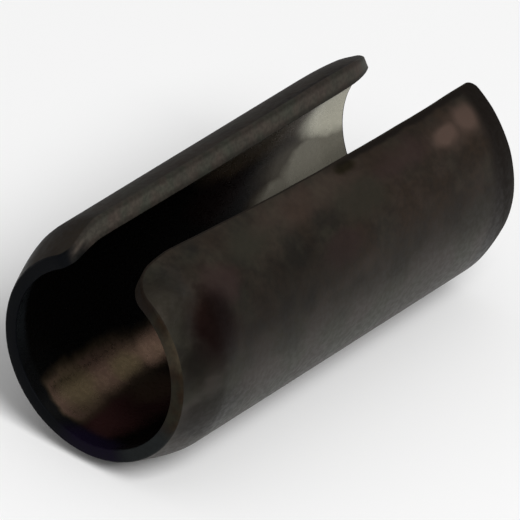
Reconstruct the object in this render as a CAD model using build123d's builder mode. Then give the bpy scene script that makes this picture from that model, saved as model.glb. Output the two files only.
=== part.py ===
"""Spring roll pin: one strip of spring steel rolled into a slotted tube with swaged ends.

The pin lies on its side as it comes to rest. Its axis runs along X, the slot faces up (+Z),
the lowest line of the wall is at Z = 0, and X = 0 is half way along. Millimetres.
"""

import os
from math import asin, cos, degrees, hypot, radians, sin

from build123d import *

# The tube
pin_diameter = 10.5  # outside diameter of the straight body, before it is driven in
pin_length = 22.5  # over both rims, cut from stock for a nominal 22
wall = 0.92  # thickness of the strip

# The swaged ends: the -X end is pressed in further than the +X end
taper_length = 2.1  # from a rim to the theoretical corner with the straight body
rim_drop_start = 0.65  # how far the outside comes in at the -X rim
rim_drop_end = 0.4  # the same at the +X rim
mouth_drop = 0.25  # how far the bore comes in at either mouth
mouth_land = 0.4  # straight land inside each mouth
shoulder_bend = 3.0  # radius where the straight body bends into a taper, inside and out
land_bend = 1.0  # radius where a taper's inside bends into its land

# The slot, across the outer edges of its lips: the back lip (+Y) runs straight along the pin,
# and the front lip (-Y) curves in towards the -X end
slot_gap_start = 3.4
slot_gap_middle = 4.1
slot_gap_end = 4.4

# The strip's corners, where a lip meets a rim, and its edges
back_corner_start = 0.9
back_corner_end = 3.0
front_corner_start = 1.2
front_corner_end = 0.3
edge_round = 0.1  # deburred outer edges, all round the strip
bore_edge_break = 0.08  # the bore's edges, broken at 45 degrees

# Worked out from the sizes above
outer_radius = pin_diameter / 2
bore_radius = outer_radius - wall
mouth_radius = bore_radius - mouth_drop
half_length = pin_length / 2
blank_margin = wall / 3  # how much thicker the blank is than the pin, inside and out
pin_axis = Axis((0, 0, outer_radius), (1, 0, 0))
start_plane = Plane((-half_length, 0, outer_radius), x_dir=(0, 1, 0), z_dir=(1, 0, 0))
gap_angles = [
    2 * degrees(asin(gap / pin_diameter)) for gap in (slot_gap_start, slot_gap_middle, slot_gap_end)
]
back_lip_angle = (gap_angles[0] + 4 * gap_angles[1] + gap_angles[2]) / 12
cutter_reach = pin_diameter  # how far the slot's cutter stands out from the axis
between_skins = (bore_radius + outer_radius - max(rim_drop_start, rim_drop_end)) / 2


def around_axis(angle, radius):
    """Y and Z of the point at this radius, its angle measured from straight up towards +Y."""
    return radius * sin(radians(angle)), outer_radius + radius * cos(radians(angle))


def skin_outline(outside):
    """The edges where the strip's outer skin, or the bore's, ends and borders no other skin."""
    edges = ShapeList()
    for face in spring_pin.faces():
        turning_axis = face.axis_of_rotation
        point = face.position_at(0.5, 0.5)
        is_outside = hypot(point.Y, point.Z - outer_radius) > between_skins
        if turning_axis and turning_axis.is_parallel(pin_axis) and is_outside == outside:
            edges += face.edges()
    return [edge for edge in edges if edges.count(edge) == 1]


with BuildPart() as spring_pin:
    # The blank: a straight tube with some wall to spare, inside and out
    with BuildSketch(start_plane):
        Circle(outer_radius + blank_margin)
        Circle(mouth_radius - blank_margin, mode=Mode.SUBTRACT)
    extrude(amount=pin_length)

    # The slot's back half is straight, and its front half is lofted through three places
    with BuildSketch(Plane.YZ.offset(-half_length)):
        with BuildLine():
            Polyline(
                around_axis(0, 0),
                around_axis(0, cutter_reach),
                around_axis(back_lip_angle, cutter_reach),
                close=True,
            )
        make_face()
    extrude(amount=pin_length, mode=Mode.SUBTRACT)
    for place, gap_angle in zip((-half_length, 0, half_length), gap_angles):
        with BuildSketch(Plane.YZ.offset(place)):
            with BuildLine():
                Polyline(
                    around_axis(0, 0),
                    around_axis(0, cutter_reach),
                    around_axis(back_lip_angle - gap_angle, cutter_reach),
                    close=True,
                )
            make_face()
    loft(mode=Mode.SUBTRACT)

    # The strip's corners: the rims are picked along X, and the two lips along Y on each rim
    for rim, lip, corner_radius in (
        (0, -1, back_corner_start),
        (-1, -1, back_corner_end),
        (0, 0, front_corner_start),
        (-1, 0, front_corner_end),
    ):
        rim_face = spring_pin.faces().sort_by(Axis.X)[rim]
        lip_edges = rim_face.edges().filter_by(GeomType.CIRCLE, reverse=True)
        fillet(lip_edges.sort_by(Axis.Y)[lip], corner_radius)

    # The wall's section above the axis, turned round it: what it leaves of the blank is the pin
    with BuildSketch(Plane.XZ):
        with BuildLine():
            outside = FilletPolyline(
                (-half_length, outer_radius + outer_radius - rim_drop_start),
                (taper_length - half_length, outer_radius + outer_radius),
                (half_length - taper_length, outer_radius + outer_radius),
                (half_length, outer_radius + outer_radius - rim_drop_end),
                radius=shoulder_bend,
            )
            inside = FilletPolyline(
                (-half_length, outer_radius + mouth_radius),
                (mouth_land - half_length, outer_radius + mouth_radius),
                (taper_length - half_length, outer_radius + bore_radius),
                (half_length - taper_length, outer_radius + bore_radius),
                (half_length - mouth_land, outer_radius + mouth_radius),
                (half_length, outer_radius + mouth_radius),
                radius=[land_bend, shoulder_bend, shoulder_bend, land_bend],
            )
            Line(outside @ 0, inside @ 0)
            Line(outside @ 1, inside @ 1)
        make_face()
    revolve(axis=pin_axis, mode=Mode.INTERSECT)

    # The strip's edges, first on the outer skin and then in the bore
    fillet(skin_outline(outside=True), edge_round)
    chamfer(skin_outline(outside=False), bore_edge_break)

spring_pin.part.label = "spring_pin"
os.makedirs("parts", exist_ok=True)
export_step(spring_pin.part, "parts/spring_pin.step")
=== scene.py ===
"""Spring roll pin: a blackened spring-steel strip rolled into a slotted tube with swaged ends.

The strip is modelled flat, with its outline, thickness and deburred edges, and is then rolled up.
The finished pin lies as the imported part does: its axis along X, its slot up and its lowest line at
Z = 0. Lengths are in Blender metres.
"""

from functools import reduce
from math import cos, exp, pi, radians, sin
from typing import NamedTuple

import bmesh
import bpy
from bpy.props import FloatProperty, FloatVectorProperty, PointerProperty
from bpy.types import Operator, Panel, PropertyGroup
from mathutils import Euler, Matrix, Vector, noise


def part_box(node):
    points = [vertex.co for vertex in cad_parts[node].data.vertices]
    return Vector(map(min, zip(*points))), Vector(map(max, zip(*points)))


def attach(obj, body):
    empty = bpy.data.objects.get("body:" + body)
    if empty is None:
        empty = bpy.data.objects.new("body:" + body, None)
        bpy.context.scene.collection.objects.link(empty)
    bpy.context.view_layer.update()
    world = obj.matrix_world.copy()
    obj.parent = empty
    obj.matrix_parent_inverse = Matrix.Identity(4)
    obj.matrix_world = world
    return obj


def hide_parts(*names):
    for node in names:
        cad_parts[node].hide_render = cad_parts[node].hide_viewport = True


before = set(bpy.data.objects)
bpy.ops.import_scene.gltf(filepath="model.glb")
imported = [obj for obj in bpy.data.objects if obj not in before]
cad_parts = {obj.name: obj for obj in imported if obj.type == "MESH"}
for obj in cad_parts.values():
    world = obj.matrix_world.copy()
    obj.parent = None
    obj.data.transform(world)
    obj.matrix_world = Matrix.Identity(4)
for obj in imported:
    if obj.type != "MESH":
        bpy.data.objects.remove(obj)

bl_info = {
    "name": "Spring roll pin",
    "version": (1, 0, 0),
    "blender": (4, 5, 0),
    "location": "View3D > Sidebar > Spring Pin",
    "description": "Models a slotted spring pin and the pale stage that it lies on",
    "category": "Object",
}

NODE = "spring_pin"
BODY = "root"
OUTER_SKIN, BORE_SKIN, CUT_EDGE = range(3)  # the pin's materials, in their order
MM = 0.001
SAME_PLACE = 0.0001 * MM  # what lies nearer than this is at the same place
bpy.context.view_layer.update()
NODE_LOW, NODE_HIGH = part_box(NODE)

# How finely the strip is cut up
CORNER_SEGMENTS = 12
EDGE_SEGMENTS = 4
CELLS_ALONG = 72  # narrower towards the rims
CELLS_AROUND = 112
SKIN_BORDER = 0.05 * MM  # a narrow frame of faces round each skin keeps its shading smooth

# The noise in the strip's edges and skins
WAVER_SEED = 5  # without a seed of its own, the noise of the edges would follow the clock
WAVER_SIZE = 1.6 * MM
WAVER_DEPTH = 0.6 * MM  # how far from an edge half of its waver is left
DIP_DENSITY = 0.35  # dips to each waver
DIP_OFFSET = Vector((7.0, 3.0, 1.0))

# The effects that the materials share
SPOT_SOLID = 0.35  # a soft spot is solid over this share of its reach
BAND_SOFTNESS = 0.3  # an edge band fades by this share of its width, on both sides of its end
DRAWN_LINE_DENSITY = (0.12, 3.5, 3.5)  # along the strip and crosswise
RELIEF_HEIGHT = 0.02 * MM

FLOOR_HALF_SIDE = 2.0
SENSOR_WIDTH = 36.0  # of the camera, which takes it in millimetres


# --- Settings ------------------------------------------------------------------------------------


def length(name, description, millimetres):
    """A length property with its default given in millimetres."""
    return FloatProperty(
        name=name,
        description=description,
        default=millimetres * MM,
        min=0.0,
        precision=5,
        unit="LENGTH",
        subtype="DISTANCE",
    )


def angle(name, description, degrees):
    """An angle property with its default given in degrees."""
    return FloatProperty(
        name=name,
        description=description,
        default=radians(degrees),
        precision=3,
        unit="ROTATION",
        subtype="ANGLE",
    )


def shift(name, description, *millimetres):
    """A shift, along Y and Z or along all three axes, with its default given in millimetres."""
    return FloatVectorProperty(
        name=name,
        description=description,
        default=[part * MM for part in millimetres],
        size=len(millimetres),
        precision=5,
        unit="LENGTH",
    )


def colour(name, description, red, green, blue):
    """A linear colour property."""
    return FloatVectorProperty(
        name=name,
        description=description,
        default=(red, green, blue),
        size=3,
        min=0.0,
        max=1.0,
        subtype="COLOR",
    )


class PinSizes(PropertyGroup):
    """Sizes of the strip and of the tube that it is rolled into."""

    diameter: length(
        "Diameter", "Outside diameter of the straight body", (NODE_HIGH.y - NODE_LOW.y) / MM
    )
    length: length("Length", "Length over both rims", (NODE_HIGH.x - NODE_LOW.x) / MM)
    wall: length("Wall", "Thickness of the strip", 0.93)
    taper_start: length("Taper, -X end", "From the rim to the straight body", 2.18)
    taper_end: length("Taper, +X end", "From the rim to the straight body", 1.41)
    taper_curve: FloatProperty(
        name="Taper curve",
        description="How softly a taper leaves the body; 1 is a cone",
        default=1.3,
        min=1.0,
    )
    rim_drop_start: length("Rim drop, -X end", "How far the outside comes in at the rim", 0.68)
    rim_drop_end: length("Rim drop, +X end", "How far the outside comes in at the rim", 0.32)
    mouth_drop_start: length("Mouth drop, -X end", "How far the bore comes in at the rim", 0.31)
    mouth_drop_end: length("Mouth drop, +X end", "How far the bore comes in at the rim", 0.25)
    rim_shift_start: shift("Rim shift, -X end", "How far the rim is pressed off the axis", -0.04, -0.18)
    rim_shift_end: shift("Rim shift, +X end", "How far the rim is pressed off the axis", -0.01, 0.13)
    tip_press: length("Tip press", "How far the back lip's tip is bent in at the +X end", 0.66)
    tip_thin: length("Tip thinning", "How much thinner the wall is at that tip", 0.6)
    tip_reach: length("Tip reach", "How far round the tip is bent in and thinned", 2.0)
    back_lip_start: angle("Back lip, -X end", "From straight up to the lip", 24.3)
    back_lip_end: angle("Back lip, +X end", "From straight up to the lip", 22.9)
    back_lip_bow: angle("Back lip bow", "Extra angle half way along", -1.8)
    front_lip_start: angle("Front lip, -X end", "From straight up to the lip", 15.3)
    front_lip_end: angle("Front lip, +X end", "From straight up to the lip", 24.2)
    front_lip_bow: angle("Front lip bow", "Extra angle half way along", 3.2)
    back_corner_start: length("Back corner, -X end", "Radius of the strip's corner", 0.7)
    back_corner_end: length("Back corner, +X end", "Radius of the strip's corner", 3.55)
    front_corner_start: length("Front corner, -X end", "Radius of the strip's corner", 1.25)
    front_corner_end: length("Front corner, +X end", "Radius of the strip's corner", 0.5)
    outer_round: length("Outer edge round", "Worn round of the outer edges", 0.1)
    bore_round: length("Bore edge round", "Worn round of the bore's edges", 0.08)
    waver: length("Edge waver", "How far the cut edges waver", 0.02)
    unevenness: length("Unevenness", "How far the skins dip", 0.01)


class PinFinish(PropertyGroup):
    """Colours of the blackened steel, on the outer skin, in the bore and on the cut edges; some of them
    are painted light or shade, as marked.
    """

    # Soot is the darkest oxide; it also lays painted shade on the outer skin
    soot: colour("Soot", "Outer skin, darkest oxide", 0.0072, 0.0058, 0.0040)
    olive: colour("Olive", "Outer skin, olive oxide towards the -X end", 0.0155, 0.0138, 0.0088)
    umber: colour("Umber", "Outer skin, brown oxide", 0.0138, 0.0084, 0.0046)
    plum: colour("Plum", "Outer skin, pinkish oxide towards the +X end", 0.0185, 0.0122, 0.0084)
    # Sage and rosy sage paint the floor's reflection on the lower flank
    sage: colour("Sage", "Outer skin, greyer oxide low on the flank", 0.0330, 0.0330, 0.0250)
    rose: colour("Rose", "Outer skin, rosy patches", 0.0235, 0.0118, 0.0105)
    rosy_sage: colour("Rosy sage", "Patches of the lower flank", 0.0360, 0.0310, 0.0270)
    moss: colour("Moss", "A stain beside the front lip", 0.0130, 0.0098, 0.0035)
    # This colour lays lighter patches and painted highlights near the +X end
    rubbed_and_lit: colour("Rubbed", "Outer skin, where it is rubbed lighter", 0.0600, 0.0380, 0.0290)
    # Scale also lays a thin painted shade high on the back
    scale: colour("Scale", "Dark scale at the +X end and along the lips", 0.0085, 0.0058, 0.0040)
    russet: colour("Russet", "Red-brown stains, outside and in", 0.0060, 0.0014, 0.0012)
    # Bore black is the oxide darkened to a painted shade deep in the bore
    bore_black_shade: colour("Bore black", "Deep in the bore", 0.0010, 0.0009, 0.0008)
    bore_slate: colour("Bore slate", "Just inside the mouths", 0.0062, 0.0072, 0.0080)
    bore_russet: colour("Bore russet", "Red-brown oxide in the bore's floor", 0.0230, 0.0090, 0.0085)
    # The bloom and its straw patches are thin oxide and partly a painted pool of light
    bore_lit_bloom: colour("Bore bloom", "Thin beige oxide in the mouth's floor", 0.172, 0.106, 0.078)
    bore_straw: colour("Bore straw", "Yellower oxide in patches of that bloom", 0.165, 0.122, 0.070)
    # Bore haze also lays the fading edge of the painted light round the bloom and the bare steel
    bore_haze: colour("Bore haze", "Brown haze round the bloom and the bare steel", 0.070, 0.050, 0.030)
    # Bore bare is bare steel whose brightness is partly a painted highlight
    bore_bare_and_highlight: colour("Bore bare", "Steel rubbed bare in the bore", 0.375, 0.362, 0.295)
    lip_grey: colour("Lip grey", "Lips of the slot", 0.0460, 0.0410, 0.0340)
    lip_sage: colour("Lip sage", "Greenish grey on the lips", 0.0460, 0.0470, 0.0370)
    lip_rose: colour("Lip rose", "Pinkish brown on the lips", 0.0600, 0.0450, 0.0380)
    # Rim tan is a painted highlight on the -X rim, in front
    rim_highlight: colour("Rim tan", "A rubbed place on the -X rim, in front", 0.0480, 0.0370, 0.0240)
    rim_slate: colour("Rim slate", "The -X rim, at the back", 0.0022, 0.0026, 0.0034)
    rim_teal: colour("Rim teal", "The -X rim, low in front", 0.0105, 0.0120, 0.0122)
    rim_violet: colour("Rim violet", "Violet bloom at the bottom of the -X rim", 0.0040, 0.0026, 0.0080)


class StageSettings(PropertyGroup):
    """The floor, the light and the camera."""

    floor: colour("Floor", "Colour of the floor", 0.96, 0.96, 0.96)
    world_strength: FloatProperty(
        name="World", description="Strength of the room's light", default=0.45, min=0.0
    )
    lamp_power: FloatProperty(
        name="Lamp power", description="Power of the softbox", default=2.85, min=0.0, unit="POWER"
    )
    lamp_place: shift("Lamp place", "Where the softbox stands; it faces the pin", -180.0, -360.0, 445.0)
    lamp_size: length("Lamp size", "Side of the softbox", 300.0)
    azimuth: angle("Azimuth", "Camera's direction, 0 looking along +Y", 303.45)
    elevation: angle("Elevation", "Camera's height above the horizon", 32.67)
    roll: angle("Roll", "Camera's turn about its view", 7.31)
    distance: length("Distance", "From the camera to the pin's middle", 515.9)
    aim_right: length("Aim right", "How far right of the pin's middle the camera aims", 0.05)
    aim_down: length("Aim down", "How far below the pin's middle the camera aims", 0.32)
    focal_length: FloatProperty(
        name="Focal length", description="Camera's focal length", default=861.0, unit="CAMERA"
    )


# --- The strip -----------------------------------------------------------------------------------


def lip_angle(sizes, side, along):
    """A lip's angle from straight up at this place along the pin, before it bows."""
    start, end = sizes.front_lip_start, sizes.front_lip_end
    if side > 0:
        start, end = sizes.back_lip_start, sizes.back_lip_end
    return start + (end - start) * (along / sizes.length + 0.5)


def flat_strip(sizes):
    """The strip before rolling: X along the pin, Y across the strip and Z from the bore outwards."""
    half = sizes.length / 2
    middle_radius = (sizes.diameter - sizes.wall) / 2
    mesh = bmesh.new()
    corners = []
    for along, side in ((-half, -1), (half, -1), (half, 1), (-half, 1)):
        across = side * middle_radius * (pi - lip_angle(sizes, side, along))
        corners.append(mesh.verts.new((along, across, 0.0)))
    mesh.faces.new(corners)
    radii = (
        sizes.front_corner_start,
        sizes.front_corner_end,
        sizes.back_corner_end,
        sizes.back_corner_start,
    )
    for corner, radius in zip(corners, radii):
        bmesh.ops.bevel(
            mesh, geom=[corner], offset=radius, offset_type="OFFSET", segments=CORNER_SEGMENTS,
            profile=0.5, affect="VERTICES", material=-1,
        )
    grown = bmesh.ops.extrude_face_region(mesh, geom=mesh.faces[:])
    outside = [part for part in grown["geom"] if isinstance(part, bmesh.types.BMVert)]
    bmesh.ops.translate(mesh, verts=outside, vec=(0.0, 0.0, sizes.wall))
    for level, edge_round in ((sizes.wall, sizes.outer_round), (0.0, sizes.bore_round)):
        outline = [
            edge for edge in mesh.edges
            if all(abs(vert.co.z - level) < SAME_PLACE for vert in edge.verts)
        ]
        bmesh.ops.bevel(
            mesh, geom=outline, offset=edge_round, offset_type="OFFSET", segments=EDGE_SEGMENTS,
            profile=0.5, affect="EDGES", material=-1, clamp_overlap=True,
        )
    skins = sorted(mesh.faces, key=lambda face: face.calc_area())[-2:]
    for skin in skins:
        bmesh.ops.inset_region(mesh, faces=[skin], thickness=SKIN_BORDER, use_even_offset=True)
    for face in mesh.faces:
        height = face.calc_center_median().z
        face.material_index = CUT_EDGE
        if abs(height - sizes.wall) < SAME_PLACE:
            face.material_index = OUTER_SKIN
        elif abs(height) < SAME_PLACE:
            face.material_index = BORE_SKIN
    return mesh


def cut_into_cells(mesh, sizes):
    """Cuts the flat strip crosswise and lengthwise, so that it can bend smoothly."""
    half = sizes.length / 2
    width = pi * (sizes.diameter - sizes.wall)
    half_cells = CELLS_ALONG // 2
    along = [half * sin(pi / 2 * step / half_cells) for step in range(1 - half_cells, half_cells)]
    across = [width * (step / CELLS_AROUND - 0.5) for step in range(1, CELLS_AROUND)]
    for axis, places in ((Vector((1, 0, 0)), along), (Vector((0, 1, 0)), across)):
        for place in places:
            bmesh.ops.bisect_plane(
                mesh, geom=mesh.verts[:] + mesh.edges[:] + mesh.faces[:],
                dist=SAME_PLACE, plane_co=axis * place, plane_no=axis,
            )


def swage(sizes, along):
    """How far the outside and the bore come in here, and how far the section is off the axis."""
    start = along < 0
    taper = sizes.taper_start if start else sizes.taper_end
    past = max(abs(along) - (sizes.length / 2 - taper), 0.0) / taper
    rim_drop, mouth_drop = sizes.rim_drop_end, sizes.mouth_drop_end
    rim_shift = sizes.rim_shift_end
    if start:
        rim_drop, mouth_drop = sizes.rim_drop_start, sizes.mouth_drop_start
        rim_shift = sizes.rim_shift_start
    share = past ** sizes.taper_curve
    return share * rim_drop, share * mouth_drop, share * Vector(rim_shift)


def uneven(sizes, along, across, gap):
    """How far a point wavers along and across the strip, and how far its skin dips."""
    place = Vector((along, across, 0.0)) / WAVER_SIZE
    fade = 1.0 / (1.0 + (gap / WAVER_DEPTH) ** 2)
    waver = noise.noise_vector(place) * sizes.waver * fade
    dip = (noise.noise(place * DIP_DENSITY + DIP_OFFSET) - 1.0) / 2 * sizes.unevenness
    return waver, dip


def skin_radii(sizes, side, to_rim, to_lip, rim_drop, mouth_drop):
    """The radii of the outside and of the bore, this far from the +X rim and from the lip."""
    outside = sizes.diameter / 2 - rim_drop
    bore = sizes.diameter / 2 - sizes.wall - mouth_drop
    if side > 0:
        tip_gap = Vector((to_rim, to_lip)).length / sizes.tip_reach
        nearness = exp(-tip_gap * tip_gap)
        outside -= nearness * sizes.tip_press
        bore -= nearness * (sizes.tip_press - sizes.tip_thin)
    return outside, bore


def roll_up(mesh, sizes):
    """Rolls the flat strip round the pin's axis and swages its ends."""
    radius = sizes.diameter / 2
    middle_radius = radius - sizes.wall / 2
    half = sizes.length / 2
    noise.seed_set(WAVER_SEED)
    edge_gap = mesh.verts.layers.float.new("edge_gap")
    strip_place = mesh.verts.layers.float_vector.new("strip_place")
    for vert in mesh.verts:
        along, across, height = vert.co
        side = 1 if across > 0 else -1
        lip_across = middle_radius * (pi - lip_angle(sizes, side, along))
        gap = max(min(half - abs(along), lip_across - abs(across)), 0.0)
        vert[edge_gap] = gap / MM
        vert[strip_place] = vert.co / MM
        waver, dip = uneven(sizes, along, across, gap)
        bow = sizes.back_lip_bow if side > 0 else sizes.front_lip_bow
        bow *= 1.0 - (along / half) ** 2
        turn = (across + waver.y) / middle_radius - side * bow * (across / lip_across) ** 2
        rim_drop, mouth_drop, off_axis = swage(sizes, along)
        outside, bore = skin_radii(
            sizes, side, half - along, lip_across - across, rim_drop, mouth_drop
        )
        reach = bore + (outside - bore) * height / sizes.wall + dip
        inward = -abs(waver.x) * (1 if along > 0 else -1)
        vert.co = (
            along + inward,
            off_axis.x + reach * sin(turn),
            off_axis.y + radius - reach * cos(turn),
        )
    bmesh.ops.recalc_face_normals(mesh, faces=mesh.faces[:])
    if mesh.calc_volume(signed=True) < 0.0:
        bmesh.ops.reverse_faces(mesh, faces=mesh.faces[:])


# --- Nodes ---------------------------------------------------------------------------------------


def add_node(tree, kind, inputs=None, **settings):
    """Adds a node with these settings, and sets or links its inputs by name or number."""
    added = tree.nodes.new(kind)
    for key, value in settings.items():
        setattr(added, key, value)
    for key, value in (inputs or {}).items():
        if isinstance(value, bpy.types.NodeSocket):
            tree.links.new(value, added.inputs[key])
        else:
            added.inputs[key].default_value = value
    return added


def calculate(tree, operation, first, second=0.0, clamp=False):
    """A Math node's result."""
    settings = {"operation": operation, "use_clamp": clamp}
    return add_node(tree, "ShaderNodeMath", {0: first, 1: second}, **settings).outputs[0]


def product(tree, first, second):
    """Two numbers or masks multiplied."""
    return calculate(tree, "MULTIPLY", first, second)


def strongest(tree, *masks):
    """The strongest of several masks at each point."""
    return reduce(lambda first, second: calculate(tree, "MAXIMUM", first, second), masks)


def calculate_vector(tree, operation, first, second):
    """A Vector Math node's result, the second input being a vector."""
    inputs = {0: first, 1: second}
    return add_node(tree, "ShaderNodeVectorMath", inputs, operation=operation).outputs["Vector"]


def ease(tree, value, start, end, start_to=0.0, end_to=1.0):
    """Eases from one number to another while the value goes from start to end."""
    inputs = {
        "Value": value, "From Min": start, "From Max": end, "To Min": start_to, "To Max": end_to,
    }
    mapped = add_node(tree, "ShaderNodeMapRange", inputs, interpolation_type="SMOOTHSTEP")
    return mapped.outputs["Result"]


def lay_over(tree, under, over, mask, blend="MIX"):
    """Lays one colour over another where the mask is white."""
    settings = {"data_type": "RGBA", "blend_type": blend}
    return add_node(tree, "ShaderNodeMix", {0: mask, 6: under, 7: over}, **settings).outputs[2]


def noise_pattern(tree, place, scale, detail):
    """A noise texture's outputs at this place."""
    inputs = {"Vector": place, "Scale": scale, "Detail": detail}
    return add_node(tree, "ShaderNodeTexNoise", inputs).outputs


def start_group(name, inputs, outputs):
    """An empty node group with these inputs and outputs, as its tree, its inputs and its end."""
    tree = bpy.data.node_groups.new(name, "ShaderNodeTree")
    for label, kind, default in inputs:
        socket = tree.interface.new_socket(label, in_out="INPUT", socket_type=kind)
        socket.default_value = default
    for label in outputs:
        tree.interface.new_socket(label, in_out="OUTPUT", socket_type="NodeSocketFloat")
    return tree, tree.nodes.new("NodeGroupInput").outputs, tree.nodes.new("NodeGroupOutput")


def mottle_group():
    """Mottle: soft patches of a given size, and a finer grain in them. Places are in millimetres."""
    tree, given, end = start_group(
        "Mottle",
        (
            ("Place", "NodeSocketVector", (0.0, 0.0, 0.0)),
            ("Patch Size", "NodeSocketFloat", 1.0),
            ("Variant", "NodeSocketFloat", 0.0),
        ),
        ("Patches", "Grain"),
    )
    density = calculate(tree, "DIVIDE", 1.0, given["Patch Size"])
    for output, finer, detail, low, high in (
        ("Patches", 1.0, 2.0, 0.36, 0.64),
        ("Grain", 5.0, 3.5, 0.30, 0.70),
    ):
        noise_inputs = {
            "Vector": given["Place"],
            "W": given["Variant"],
            "Detail": detail,
            "Scale": product(tree, density, finer),
        }
        pattern = add_node(tree, "ShaderNodeTexNoise", noise_inputs, noise_dimensions="4D")
        tree.links.new(ease(tree, pattern.outputs[0], low, high), end.inputs[output])
    return tree


def soft_spot_group():
    """Soft Spot: one soft and ragged patch round a place. Lengths are in millimetres."""
    tree, given, end = start_group(
        "Soft Spot",
        (
            ("Place", "NodeSocketVector", (0.0, 0.0, 0.0)),
            ("Centre", "NodeSocketVector", (0.0, 0.0, 0.0)),
            ("Reach", "NodeSocketVector", (1.0, 1.0, 1.0)),
            ("Raggedness", "NodeSocketFloat", 0.8),
        ),
        ("Mask",),
    )
    ragged = noise_pattern(tree, given["Place"], scale=1.1, detail=2.0)["Color"]
    centred = calculate_vector(tree, "SUBTRACT", ragged, (0.5, 0.5, 0.5))
    inputs = {0: centred, "Scale": given["Raggedness"]}
    stray = add_node(tree, "ShaderNodeVectorMath", inputs, operation="SCALE").outputs["Vector"]
    place = calculate_vector(tree, "ADD", given["Place"], stray)
    away = calculate_vector(tree, "SUBTRACT", place, given["Centre"])
    away = calculate_vector(tree, "DIVIDE", away, given["Reach"])
    away = add_node(tree, "ShaderNodeVectorMath", {0: away}, operation="LENGTH").outputs["Value"]
    tree.links.new(ease(tree, away, SPOT_SOLID, 1.0, 1.0, 0.0), end.inputs["Mask"])
    return tree


def edge_band_group():
    """Edge Band: a band of a given width along the strip's edges. Lengths are in millimetres."""
    tree, given, end = start_group(
        "Edge Band",
        (
            ("Place", "NodeSocketVector", (0.0, 0.0, 0.0)),
            ("Edge Gap", "NodeSocketFloat", 0.0),
            ("Width", "NodeSocketFloat", 0.3),
            ("Waver", "NodeSocketFloat", 0.2),
        ),
        ("Mask",),
    )
    wavy = noise_pattern(tree, given["Place"], scale=1.3, detail=2.0)[0]
    stray = calculate(tree, "SUBTRACT", wavy, 0.5)
    gap = calculate(tree, "ADD", given["Edge Gap"], product(tree, stray, given["Waver"]))
    fade_start = product(tree, given["Width"], 1.0 - BAND_SOFTNESS)
    fade_end = product(tree, given["Width"], 1.0 + BAND_SOFTNESS)
    tree.links.new(ease(tree, gap, fade_start, fade_end, 1.0, 0.0), end.inputs["Mask"])
    return tree


def fine_relief_group():
    """Fine Relief: pits in the oxide and lines drawn along the strip. Places are in millimetres."""
    tree, given, end = start_group(
        "Fine Relief",
        (("Place", "NodeSocketVector", (0.0, 0.0, 0.0)), ("Drawn Lines", "NodeSocketFloat", 0.3)),
        ("Height",),
    )
    pits = noise_pattern(tree, given["Place"], scale=5.0, detail=4.0)[0]
    stretched = calculate_vector(tree, "MULTIPLY", given["Place"], DRAWN_LINE_DENSITY)
    lines = noise_pattern(tree, stretched, scale=1.0, detail=3.0)[0]
    lines = product(tree, lines, given["Drawn Lines"])
    tree.links.new(calculate(tree, "ADD", pits, lines), end.inputs["Height"])
    return tree


# --- Patches and fades ---------------------------------------------------------------------------

# Places are in millimetres on the flat strip: along it, across it (0 at the pin's bottom, plus
# towards the back lip) and up through its height (0 on the bore's skin). A cover is a share.


class Patch(NamedTuple):
    """A soft patch: the place of its middle, and how far it reaches."""

    along: float
    across: float
    reach_along: float
    reach_across: float


class Stain(NamedTuple):
    """Patches that look alike: how much they cover, how ragged they are, and where they lie."""

    cover: float
    raggedness: float
    patches: tuple


class Fade(NamedTuple):
    """A number that eases from one value to another while a place or a mask goes from start to end."""

    start: float
    end: float
    start_to: float = 0.0
    end_to: float = 1.0


PATCH_DEPTH = 20.0  # a patch goes right through the strip
GRAIN_TONE = Fade(0.0, 1.0, 0.85, 1.15)  # how the fine grain darkens and lightens a colour

# Outer skin: its oxide, and a painted reflection of the floor low on the flank
WARM_PATCH_COVER = 0.7
WARMER_ALONG = Fade(-10.0, 8.0, -0.05, 0.45)
FRAYED_BY = Fade(0.0, 1.0, -0.4, 0.4)  # how far patches shift the edges of the grey flank
# The grey flank: a painted reflection of the floor
FLANK_REFLECTION_TOP = Fade(-9.3, -6.6)
FLANK_REFLECTION_FOOT = Fade(-2.0, -6.0)
FLANK_REFLECTION_COVER = 0.8

# Outer skin: its wear, and painted highlights
ROSE = Stain(0.6, 0.9, (
    Patch(-8.0, -11.5, 1.6, 1.2),
    Patch(-0.6, -10.2, 2.0, 0.9),
    Patch(4.8, -12.0, 2.4, 0.9),
))
OLIVE = Stain(0.7, 0.9, (
    Patch(1.6, -11.5, 2.2, 1.3),
    Patch(8.4, -8.0, 1.8, 1.2),
    Patch(-5.5, -12.3, 2.0, 1.0),
))
# Lighter patches; the one near +X lies in a painted highlight
RUBBED_AND_LIT = Stain(0.25, 0.9, (Patch(8.3, -11.8, 2.6, 1.0), Patch(-1.4, -12.6, 4.5, 1.0)))
# Painted highlights near the +X end, high on the front
PAINTED_HIGHLIGHTS = Stain(1.0, 0.4, (Patch(7.75, -11.75, 1.3, 0.6), Patch(9.3, -11.95, 1.2, 0.9)))
HIGHLIGHT_FALL = 1.8  # above 1, the bright places fall off faster towards their edges
HIGHLIGHT_COVER = 0.75
RUSSET_STAIN = Stain(0.8, 0.5, (Patch(-9.15, -10.25, 1.7, 2.1),))
UMBER_STAIN = Stain(0.4, 0.6, (Patch(4.0, -12.6, 2.2, 0.8),))
MOSS_STAIN = Stain(0.8, 0.3, (Patch(1.8, -12.95, 0.9, 0.42),))

# Outer skin: its darker patches and painted shade
# Darker patches: the first stain at the -X end, in front; the second and third are painted shade
SHADE_AND_DARK_PATCHES = (
    Stain(0.6, 1.6, (Patch(-9.9, -9.1, 2.3, 1.6), Patch(-10.8, -11.9, 1.6, 2.2))),
    Stain(0.72, 1.8, (Patch(-9.4, -6.3, 2.9, 1.9),)),
    Stain(0.35, 1.2, (Patch(-4.0, -9.9, 6.5, 2.0),)),
)
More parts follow.
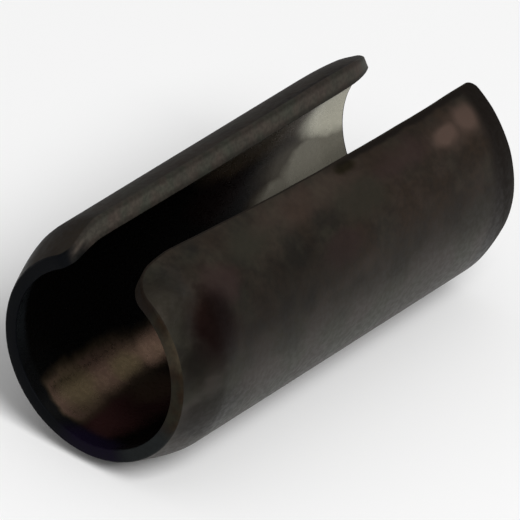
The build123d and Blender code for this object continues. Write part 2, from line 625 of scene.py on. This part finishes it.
# A band of painted shade above the painted reflection on the flank
SHADE_BAND_TOP = Fade(-9.6, -8.4)
SHADE_BAND_FOOT = Fade(-7.0, -8.2)
SHADE_BAND_COVER = 0.25

# Outer skin: its scale
SCALE_BESIDE_LIPS = Fade(0.0, 3.0)
SCALE_LIP_WIDTH = 0.32
SCALE_LIP_WAVER = 0.25
SCALE_AT_END = Fade(9.6, 10.4)
SCALE_WIDENS = Fade(-12.0, -6.5, 0.0, 0.9)  # down the front; from there on it stays wide
HIGH_BEHIND = Fade(9.0, 11.0)
# Painted shade high on the back, in the colour of scale
SCALE_AND_SHADE_BEHIND_COVER = 0.2
SCALE_METALLIC = 0.6
OUTER_ROUGHNESS = Fade(0.0, 1.0, 0.42, 0.52)
MATT_ROUGHER = 0.28

# Bore: its mouths and its floor
MOUTH_WIDTH = 0.8
MOUTH_WAVER = 0.5
# Slate just inside the mouths; deeper in, the bore is black, a painted shade
MOUTH_SLATE = Fade(4.5, 7.5, 0.2, 1.0)
FLOOR_RUSSET = Stain(1.0, 0.8, (Patch(-7.4, 0.1, 4.8, 1.9),))
RUSSET_AT_MOUTH = Fade(0.0, 1.0, 1.0, 0.3)
MOUTH_VIOLET = Stain(1.0, 0.4, (Patch(-11.2, -0.4, 1.3, 2.4),))
WALL_RUSSET = Stain(0.5, 0.8, (Patch(3.0, 7.0, 3.0, 1.6),))
FLOOR_HAZE = Stain(0.4, 0.6, (Patch(-5.8, 0.5, 1.9, 1.3),))
WALL_HAZE = Stain(0.6, 0.6, (Patch(5.6, 9.0, 5.5, 1.9),))

# Bore: the beige bloom in the -X mouth, thin oxide and partly a painted pool of light
LIT_BLOOM = Stain(1.0, 0.6, (
    Patch(-9.3, 2.4, 3.0, 1.8),
    Patch(-6.8, 2.45, 4.0, 1.75),
    Patch(-4.0, 2.3, 2.2, 1.5),
))
BLOOM_STRAW = Stain(1.0, 0.8, (Patch(-8.9, 2.5, 1.6, 1.7), Patch(-5.9, 2.1, 1.3, 1.2)))
STRAW_PATCH_COVER = 0.3
# A painted highlight on the bloom
CREAM_HIGHLIGHT = Stain(1.0, 0.5, (Patch(-4.2, 2.15, 1.4, 0.9),))
CREAM_HIGHLIGHT_GAIN = 1.35
BLOOM_EDGE = Fade(0.15, 0.85)

# Bore: the bare steel in the +X mouth, whose brightness is partly a painted highlight
BARE_AND_HIGHLIGHT = Stain(1.0, 0.5, (Patch(11.3, 7.95, 4.2, 2.3),))
BARE_DULL = Stain(1.0, 0.5, (Patch(10.8, 5.6, 5.6, 2.6),))
DULL_COVER = Fade(0.0, 0.75, 0.0, 0.55)
BARE_LOW = Stain(0.5, 0.5, (Patch(6.9, 5.2, 3.0, 1.4),))
BARE_THIN = Stain(0.35, 0.5, (Patch(8.6, 6.3, 4.2, 2.0),))
BARE_EDGE = Fade(0.1, 0.9)
BORE_ROUGHNESS = Fade(0.0, 1.0, 0.26, 0.34)

# Cut edges: the lips
LIP_ROSE_COVER = 0.6
CROWN_INSIDE = Fade(0.05, 0.40)
CROWN_OUTSIDE = Fade(0.90, 0.55)
CROWN_TONE = Fade(0.0, 1.0, 0.55, 1.0)
FRONT_LIP = Fade(-10.0, -11.0)
FRONT_LIP_SCALE_COVER = 0.8

# Cut edges: the rims
RIM_VIOLET = Stain(1.0, 0.6, (Patch(-11.25, -0.6, 1.5, 2.6),))
RIM_TEAL = Fade(-1.6, -3.0)
RIM_BROWN = Fade(-5.0, -6.5)
# A painted highlight on the -X rim, in front
RIM_HIGHLIGHT = Stain(0.5, 0.3, (Patch(-11.25, -10.0, 1.5, 1.2),))
RIM_SCALE = Fade(-11.4, -12.2)
FAR_RIM_SCALE = Fade(-2.0, 2.0)
RIMS = Fade(10.7, 11.1)
BACK_CORNER = Fade(-10.5, -11.1)
BACK_CORNER_LOW = Fade(-9.6, -10.4)
LOW_ON_LIP = Fade(0.65, 0.35, 0.0, 0.8)
BACK_LIP = Fade(9.0, 10.0)
EDGE_ROUGHNESS = Fade(0.0, 1.0, 0.5, 0.65)


# --- Materials -----------------------------------------------------------------------------------


def use_group(tree, group, **inputs):
    """Places an effect in a material; an input's name has _ for each space."""
    node = add_node(tree, "ShaderNodeGroup", node_tree=group)
    for key, value in inputs.items():
        socket = node.inputs[key.replace("_", " ").title()]
        if isinstance(value, bpy.types.NodeSocket):
            tree.links.new(value, socket)
        else:
            socket.default_value = value
    return node.outputs


def start_material(name):
    """A new material's tree and shader, and its place in millimetres, on the pin and on the strip."""
    material = bpy.data.materials.new(name)
    material.use_nodes = True
    tree = material.node_tree
    coordinates = add_node(tree, "ShaderNodeTexCoord").outputs["Object"]
    in_millimetres = (1 / MM, 1 / MM, 1 / MM)
    place = add_node(tree, "ShaderNodeMapping", {"Vector": coordinates, "Scale": in_millimetres})
    strip = add_node(tree, "ShaderNodeAttribute", attribute_name="strip_place").outputs["Vector"]
    return material, tree, tree.nodes["Principled BSDF"], place.outputs["Vector"], strip


def along_across_height(tree, strip):
    """The three parts of a place on the strip."""
    parts = add_node(tree, "ShaderNodeSeparateXYZ", {0: strip}).outputs
    return parts["X"], parts["Y"], parts["Z"]


def opaque(rgb):
    """A colour with its alpha."""
    return (*rgb, 1.0)


def spread(tree, effects, strip, stain):
    """The mask of a stain's patches."""
    mask = 0.0
    for patch in stain.patches:
        spot = use_group(
            tree,
            effects["Soft Spot"],
            place=strip,
            centre=(patch.along, patch.across, 0.0),
            reach=(patch.reach_along, patch.reach_across, PATCH_DEPTH),
            raggedness=stain.raggedness,
        )["Mask"]
        mask = strongest(tree, spot, mask)
    return product(tree, mask, stain.cover)


def beside_edges(tree, effects, strip, width, waver):
    """The mask of a band along the strip's edges."""
    gap = add_node(tree, "ShaderNodeAttribute", attribute_name="edge_gap").outputs["Fac"]
    band = use_group(tree, effects["Edge Band"], place=strip, edge_gap=gap, width=width, waver=waver)
    return band["Mask"]


def roughen(tree, shader, effects, place, drawn_lines, strength):
    """Gives a shader the fine relief of the oxide."""
    height = use_group(tree, effects["Fine Relief"], place=place, drawn_lines=drawn_lines)["Height"]
    inputs = {"Height": height, "Strength": strength, "Distance": RELIEF_HEIGHT}
    bump = add_node(tree, "ShaderNodeBump", inputs)
    tree.links.new(bump.outputs["Normal"], shader.inputs["Normal"])


def outer_oxide(tree, finish, along, across, tone, hue):
    """The oxide before any wear: mottled and browner towards +X, and greyer low on the flank, which is a
    painted reflection of the floor.
    """
    cool = lay_over(tree, opaque(finish.soot), opaque(finish.olive), tone["Patches"])
    warm = lay_over(tree, opaque(finish.umber), opaque(finish.plum), tone["Patches"])
    warmth = product(tree, hue["Patches"], WARM_PATCH_COVER)
    warmth = calculate(tree, "ADD", warmth, ease(tree, along, *WARMER_ALONG), clamp=True)
    tint = lay_over(tree, cool, warm, warmth)
    tint = lay_over(tree, tint, ease(tree, tone["Grain"], *GRAIN_TONE), 1.0, "MULTIPLY")
    # The grey flank is a painted reflection of the floor
    frayed = calculate(tree, "ADD", across, ease(tree, hue["Patches"], *FRAYED_BY))
    flank = product(tree, ease(tree, frayed, *FLANK_REFLECTION_TOP), ease(tree, frayed, *FLANK_REFLECTION_FOOT))
    flank_reflection_tint = lay_over(tree, opaque(finish.sage), opaque(finish.rosy_sage), hue["Patches"])
    return lay_over(tree, tint, flank_reflection_tint, product(tree, flank, FLANK_REFLECTION_COVER))


def outer_wear(tree, finish, effects, strip, tint):
    """The oxide with its rosy and its olive patches, and lighter in places, partly with painted
    highlights near the +X end.
    """
    tint = lay_over(tree, tint, opaque(finish.rose), spread(tree, effects, strip, ROSE))
    tint = lay_over(tree, tint, opaque(finish.olive), spread(tree, effects, strip, OLIVE))
    # Painted highlights near the +X end, with lighter patches
    bright = calculate(tree, "POWER", spread(tree, effects, strip, PAINTED_HIGHLIGHTS), HIGHLIGHT_FALL)
    bright = product(tree, bright, HIGHLIGHT_COVER)
    rubbed_and_lit = calculate(tree, "ADD", spread(tree, effects, strip, RUBBED_AND_LIT), bright)
    return lay_over(tree, tint, opaque(finish.rubbed_and_lit), rubbed_and_lit)


def outer_darkening_and_shade(tree, effects, strip, across):
    """The mask of the darkening on the -X end and high on the front, partly painted shade, and of a band
    of painted shade above the grey flank.
    """
    shade_band = product(tree, ease(tree, across, *SHADE_BAND_TOP), ease(tree, across, *SHADE_BAND_FOOT))
    shade_and_dark_patches = [spread(tree, effects, strip, stain) for stain in SHADE_AND_DARK_PATCHES]
    return strongest(tree, product(tree, shade_band, SHADE_BAND_COVER), *shade_and_dark_patches)


def outer_scale(tree, effects, strip, along, across, behind):
    """The mask of the scale: round the +X end and beside the lips there; thin high on the back, where it
    is painted shade.
    """
    beside_lips = beside_edges(tree, effects, strip, SCALE_LIP_WIDTH, SCALE_LIP_WAVER)
    beside_lips = product(tree, beside_lips, ease(tree, along, *SCALE_BESIDE_LIPS))
    widened = calculate(tree, "ADD", along, ease(tree, across, *SCALE_WIDENS))
    # Thin scale high on the back, as painted shade
    thin = product(tree, behind, SCALE_AND_SHADE_BEHIND_COVER)
    return strongest(tree, beside_lips, ease(tree, widened, *SCALE_AT_END), thin)


def outer_skin(finish, effects):
    """Mottled black oxide with its wear, its stains and its darker patches, and dark scale at the +X
    end; with a painted floor reflection low on the flank, painted highlights and painted shade.
    """
    material, tree, shader, place, strip = start_material("outer_skin")
    along, across, _ = along_across_height(tree, strip)
    tone = use_group(tree, effects["Mottle"], place=place, patch_size=1.3, variant=0.0)
    hue = use_group(tree, effects["Mottle"], place=place, patch_size=1.9, variant=4.0)
    darkened_and_shaded = outer_darkening_and_shade(tree, effects, strip, across)
    stained = spread(tree, effects, strip, RUSSET_STAIN)
    greened = spread(tree, effects, strip, MOSS_STAIN)
    behind = ease(tree, across, *HIGH_BEHIND)
    scaled = outer_scale(tree, effects, strip, along, across, behind)

    tint = outer_oxide(tree, finish, along, across, tone, hue)
    tint = outer_wear(tree, finish, effects, strip, tint)
    # Darker patches and painted shade
    tint = lay_over(tree, tint, opaque(finish.soot), darkened_and_shaded)
    tint = lay_over(tree, tint, opaque(finish.russet), stained)
    tint = lay_over(tree, tint, opaque(finish.umber), spread(tree, effects, strip, UMBER_STAIN))
    tint = lay_over(tree, tint, opaque(finish.moss), greened)
    tint = lay_over(tree, tint, opaque(finish.scale), scaled)
    tree.links.new(tint, shader.inputs["Base Color"])

    metal = strongest(tree, product(tree, scaled, SCALE_METALLIC), stained, greened, darkened_and_shaded)
    tree.links.new(metal, shader.inputs["Metallic"])
    matt = strongest(tree, behind, ease(tree, along, *SCALE_AT_END))
    roughness = ease(tree, tone["Grain"], *OUTER_ROUGHNESS)
    roughness = calculate(tree, "ADD", roughness, product(tree, matt, MATT_ROUGHER))
    tree.links.new(roughness, shader.inputs["Roughness"])
    shader.inputs["IOR"].default_value = 1.22
    roughen(tree, shader, effects, place, drawn_lines=0.4, strength=0.25)
    return material


def bore_oxide(tree, finish, effects, strip, across, mouths):
    """Black deep inside, a painted shade; slate just inside the mouths, red-brown on the floor and
    violet at its -X end.
    """
    # Black deep inside is painted shade
    slate = product(tree, mouths, ease(tree, across, *MOUTH_SLATE))
    tint = lay_over(tree, opaque(finish.bore_black_shade), opaque(finish.bore_slate), slate)
    floor_russet = spread(tree, effects, strip, FLOOR_RUSSET)
    floor_russet = product(tree, floor_russet, ease(tree, mouths, *RUSSET_AT_MOUTH))
    tint = lay_over(tree, tint, opaque(finish.bore_russet), floor_russet)
    return lay_over(tree, tint, opaque(finish.rim_violet), spread(tree, effects, strip, MOUTH_VIOLET))


def bloom_tint(tree, finish, effects, strip, hue, bloom):
    """The beige of the bloom, partly a painted pool of light: yellower in patches, creamier where a
    highlight is painted, and hazy at its edge.
    """
    straw = product(tree, hue["Patches"], STRAW_PATCH_COVER)
    straw = strongest(tree, straw, spread(tree, effects, strip, BLOOM_STRAW))
    tint = lay_over(tree, opaque(finish.bore_lit_bloom), opaque(finish.bore_straw), straw)
    # A painted highlight that lightens part of the bloom
    cream = opaque((CREAM_HIGHLIGHT_GAIN, CREAM_HIGHLIGHT_GAIN, CREAM_HIGHLIGHT_GAIN))
    tint = lay_over(tree, tint, cream, spread(tree, effects, strip, CREAM_HIGHLIGHT), "MULTIPLY")
    return lay_over(tree, opaque(finish.bore_haze), tint, ease(tree, bloom, *BLOOM_EDGE))


def bare_steel_and_highlight(tree, effects, strip):
    """The mask of the bare steel, partly a painted highlight: bright at the +X rim and duller towards
    the middle and lower down.
    """
    dull = ease(tree, spread(tree, effects, strip, BARE_DULL), *DULL_COVER)
    thinner = [spread(tree, effects, strip, stain) for stain in (BARE_LOW, BARE_THIN)]
    return strongest(tree, spread(tree, effects, strip, BARE_AND_HIGHLIGHT), dull, *thinner)


def bore_skin(finish, effects):
    """Black inside, darkest deep in as painted shade, with thin beige bloom on the -X mouth's floor and
    bare steel in the +X mouth, both partly painted light.
    """
    material, tree, shader, place, strip = start_material("bore_skin")
    across = along_across_height(tree, strip)[1]
    tone = use_group(tree, effects["Mottle"], place=place, patch_size=0.9, variant=2.0)
    hue = use_group(tree, effects["Mottle"], place=place, patch_size=1.8, variant=5.0)
    mouths = beside_edges(tree, effects, strip, MOUTH_WIDTH, MOUTH_WAVER)
    wall_russet = spread(tree, effects, strip, WALL_RUSSET)
    wall_haze = spread(tree, effects, strip, WALL_HAZE)
    # The bloom is thin oxide and partly a painted pool of light
    bloom = spread(tree, effects, strip, LIT_BLOOM)
    bloom = product(tree, bloom, calculate(tree, "SUBTRACT", 1.0, mouths))
    # The bare steel's brightness is partly a painted highlight
    bare = bare_steel_and_highlight(tree, effects, strip)

    haze = opaque(finish.bore_haze)
    tint = bore_oxide(tree, finish, effects, strip, across, mouths)
    tint = lay_over(tree, tint, opaque(finish.russet), wall_russet)
    tint = lay_over(tree, tint, haze, spread(tree, effects, strip, FLOOR_HAZE))
    tint = lay_over(tree, tint, bloom_tint(tree, finish, effects, strip, hue, bloom), bloom)
    tint = lay_over(tree, tint, haze, wall_haze)
    bare_and_highlight_tint = lay_over(tree, haze, opaque(finish.bore_bare_and_highlight), ease(tree, bare, *BARE_EDGE))
    tint = lay_over(tree, tint, bare_and_highlight_tint, bare)
    tree.links.new(tint, shader.inputs["Base Color"])

    tree.links.new(strongest(tree, bloom, bare, wall_russet, wall_haze), shader.inputs["Metallic"])
    tree.links.new(ease(tree, tone["Grain"], *BORE_ROUGHNESS), shader.inputs["Roughness"])
    shader.inputs["IOR"].default_value = 1.15
    roughen(tree, shader, effects, place, drawn_lines=0.8, strength=0.15)
    return material


def lip_tint(tree, finish, across, height, tone, hue):
    """The lips' matt grey, darker towards both skins; the front lip is mostly covered in scale."""
    tint = lay_over(tree, opaque(finish.lip_grey), opaque(finish.lip_sage), hue["Patches"])
    tint = lay_over(tree, tint, opaque(finish.lip_rose), product(tree, tone["Patches"], LIP_ROSE_COVER))
    crown = product(tree, ease(tree, height, *CROWN_INSIDE), ease(tree, height, *CROWN_OUTSIDE))
    tint = lay_over(tree, tint, ease(tree, crown, *CROWN_TONE), 1.0, "MULTIPLY")
    front = product(tree, ease(tree, across, *FRONT_LIP), FRONT_LIP_SCALE_COVER)
    return lay_over(tree, tint, opaque(finish.scale), front)


def rim_tint(tree, finish, effects, strip, along, across, tone):
    """The -X rim, going round it from slate and violet to teal, brown and scale, with a painted
    highlight in front; scale on the +X rim.
    """
    violet = spread(tree, effects, strip, RIM_VIOLET)
    tint = lay_over(tree, opaque(finish.rim_slate), opaque(finish.rim_violet), violet)
    tint = lay_over(tree, tint, opaque(finish.rim_teal), ease(tree, across, *RIM_TEAL))
    brown = lay_over(tree, opaque(finish.umber), opaque(finish.olive), tone["Patches"])
    tint = lay_over(tree, tint, brown, ease(tree, across, *RIM_BROWN))
    # A painted highlight on the -X rim, in front
    tint = lay_over(tree, tint, opaque(finish.rim_highlight), spread(tree, effects, strip, RIM_HIGHLIGHT))
    tint = lay_over(tree, tint, opaque(finish.scale), ease(tree, across, *RIM_SCALE))
    return lay_over(tree, tint, opaque(finish.scale), ease(tree, along, *FAR_RIM_SCALE))


def rim_mask(tree, along, across, height):
    """Both rims, and the back lip's -X corner with the dark low edge beside it."""
    rims = ease(tree, calculate(tree, "ABSOLUTE", along), *RIMS)
    low_edge = product(tree, ease(tree, along, *BACK_CORNER_LOW), ease(tree, height, *LOW_ON_LIP))
    corner = strongest(tree, ease(tree, along, *BACK_CORNER), low_edge)
    return strongest(tree, rims, product(tree, corner, ease(tree, across, *BACK_LIP)))


def cut_edge(finish, effects):
    """The sheared edges of the strip: its two lips and its two rims."""
    material, tree, shader, place, strip = start_material("cut_edge")
    along, across, height = along_across_height(tree, strip)
    tone = use_group(tree, effects["Mottle"], place=place, patch_size=0.8, variant=1.0)
    hue = use_group(tree, effects["Mottle"], place=place, patch_size=1.8, variant=6.0)
    lips = lip_tint(tree, finish, across, height, tone, hue)
    rims = rim_tint(tree, finish, effects, strip, along, across, tone)
    tint = lay_over(tree, lips, rims, rim_mask(tree, along, across, height))
    tint = lay_over(tree, tint, ease(tree, tone["Grain"], *GRAIN_TONE), 1.0, "MULTIPLY")
    tree.links.new(tint, shader.inputs["Base Color"])
    tree.links.new(ease(tree, tone["Grain"], *EDGE_ROUGHNESS), shader.inputs["Roughness"])
    shader.inputs["IOR"].default_value = 1.3
    shader.inputs["Specular IOR Level"].default_value = 0.08
    roughen(tree, shader, effects, place, drawn_lines=0.2, strength=0.4)
    return material


# --- Pieces --------------------------------------------------------------------------------------


class SPRINGPIN_OT_build_pin(Operator):
    """Model the rolled pin and give it its blackened finish"""

    bl_idname = "springpin.build_pin"
    bl_label = "Build pin"

    def execute(self, context):
        sizes = context.scene.spring_pin_sizes
        mesh = flat_strip(sizes)
        cut_into_cells(mesh, sizes)
        roll_up(mesh, sizes)
        if any(len(edge.link_faces) != 2 for edge in mesh.edges):
            raise RuntimeError("the rolled strip isn't a closed mesh")
        for face in mesh.faces:
            face.smooth = True
        data = bpy.data.meshes.new("rolled_pin")
        mesh.to_mesh(data)
        mesh.free()
        pin = bpy.data.objects.new("rolled_pin", data)
        context.scene.collection.objects.link(pin)
        finish = context.scene.spring_pin_finish
        groups = (mottle_group(), soft_spot_group(), edge_band_group(), fine_relief_group())
        effects = {group.name: group for group in groups}
        for skin in (outer_skin, bore_skin, cut_edge):
            data.materials.append(skin(finish, effects))
        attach(pin, BODY)
        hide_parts(NODE)
        return {"FINISHED"}


class SPRINGPIN_OT_build_stage(Operator):
    """Lay the pale floor, light it softly and place the camera"""

    bl_idname = "springpin.build_stage"
    bl_label = "Build stage"

    def execute(self, context):
        scene = context.scene
        if "rolled_pin" not in bpy.data.objects:
            raise RuntimeError("the stage looks at the pin, which isn't built")
        scene.view_settings.view_transform = "Standard"
        lay_floor(scene, scene.spring_pin_stage)
        light_room(scene, scene.spring_pin_stage)
        place_camera(scene, scene.spring_pin_stage)
        return {"FINISHED"}


def lay_floor(scene, stage):
    """A plain pale floor under the pin."""
    mesh = bmesh.new()
    bmesh.ops.create_grid(mesh, x_segments=1, y_segments=1, size=FLOOR_HALF_SIDE)
    data = bpy.data.meshes.new("floor")
    mesh.to_mesh(data)
    mesh.free()
    floor = bpy.data.objects.new("floor", data)
    scene.collection.objects.link(floor)
    material = bpy.data.materials.new("floor")
    material.use_nodes = True
    shader = material.node_tree.nodes["Principled BSDF"]
    shader.inputs["Base Color"].default_value = opaque(stage.floor)
    shader.inputs["Roughness"].default_value = 0.9
    shader.inputs["Specular IOR Level"].default_value = 0.0
    data.materials.append(material)


def light_room(scene, stage):
    """Even light from the whole room, and one square softbox turned towards the pin."""
    world = bpy.data.worlds.new("room")
    scene.world = world
    world.use_nodes = True
    sky = world.node_tree.nodes["Background"]
    sky.inputs["Color"].default_value = (1.0, 1.0, 1.0, 1.0)
    sky.inputs["Strength"].default_value = stage.world_strength
    lamp_data = bpy.data.lights.new("softbox", "AREA")
    lamp_data.shape = "SQUARE"
    lamp_data.size = stage.lamp_size
    lamp_data.energy = stage.lamp_power
    lamp = bpy.data.objects.new("softbox", lamp_data)
    lamp.location = stage.lamp_place
    lamp.rotation_euler = Vector(lamp.location).to_track_quat("Z", "Y").to_euler()
    scene.collection.objects.link(lamp)


def place_camera(scene, stage):
    """The camera looks at the pin's middle from its azimuth and elevation, with a slight roll."""
    data = bpy.data.cameras.new("camera")
    data.sensor_width = SENSOR_WIDTH
    data.lens = stage.focal_length
    camera = bpy.data.objects.new("camera", data)
    scene.collection.objects.link(camera)
    back = Vector((
        sin(stage.azimuth) * cos(stage.elevation),
        -cos(stage.azimuth) * cos(stage.elevation),
        sin(stage.elevation),
    ))
    turn = back.to_track_quat("Z", "Y") @ Euler((0.0, 0.0, stage.roll)).to_quaternion()
    middle = Vector((0.0, 0.0, (NODE_HIGH.y - NODE_LOW.y) / 2))
    aim = middle + turn @ Vector((stage.aim_right, -stage.aim_down, 0.0))
    camera.location = aim + back * stage.distance
    camera.rotation_euler = turn.to_euler()
    scene.camera = camera


class SPRINGPIN_PT_main(Panel):
    """Builds the pin and its stage, and shows their sizes and colours"""

    bl_idname = "SPRINGPIN_PT_main"
    bl_label = "Spring roll pin"
    bl_space_type = "VIEW_3D"
    bl_region_type = "UI"
    bl_category = "Spring Pin"

    def draw(self, context):
        layout = self.layout
        for operator, settings in (
            (SPRINGPIN_OT_build_pin.bl_idname, ("spring_pin_sizes", "spring_pin_finish")),
            (SPRINGPIN_OT_build_stage.bl_idname, ("spring_pin_stage",)),
        ):
            layout.operator(operator)
            for name in settings:
                group = getattr(context.scene, name)
                for key in group.__annotations__:
                    layout.prop(group, key)


CLASSES = (
    PinSizes,
    PinFinish,
    StageSettings,
    SPRINGPIN_OT_build_pin,
    SPRINGPIN_OT_build_stage,
    SPRINGPIN_PT_main,
)


def register():
    """Registers the classes and hangs the settings on the scene."""
    for cls in CLASSES:
        bpy.utils.register_class(cls)
    bpy.types.Scene.spring_pin_sizes = PointerProperty(type=PinSizes)
    bpy.types.Scene.spring_pin_finish = PointerProperty(type=PinFinish)
    bpy.types.Scene.spring_pin_stage = PointerProperty(type=StageSettings)


def unregister():
    """Takes the settings and the classes away again."""
    del bpy.types.Scene.spring_pin_stage
    del bpy.types.Scene.spring_pin_finish
    del bpy.types.Scene.spring_pin_sizes
    for cls in reversed(CLASSES):
        bpy.utils.unregister_class(cls)


def main():
    """Builds the pin and its stage."""
    register()
    bpy.ops.springpin.build_pin()
    bpy.ops.springpin.build_stage()


if __name__ == "__main__":
    main()
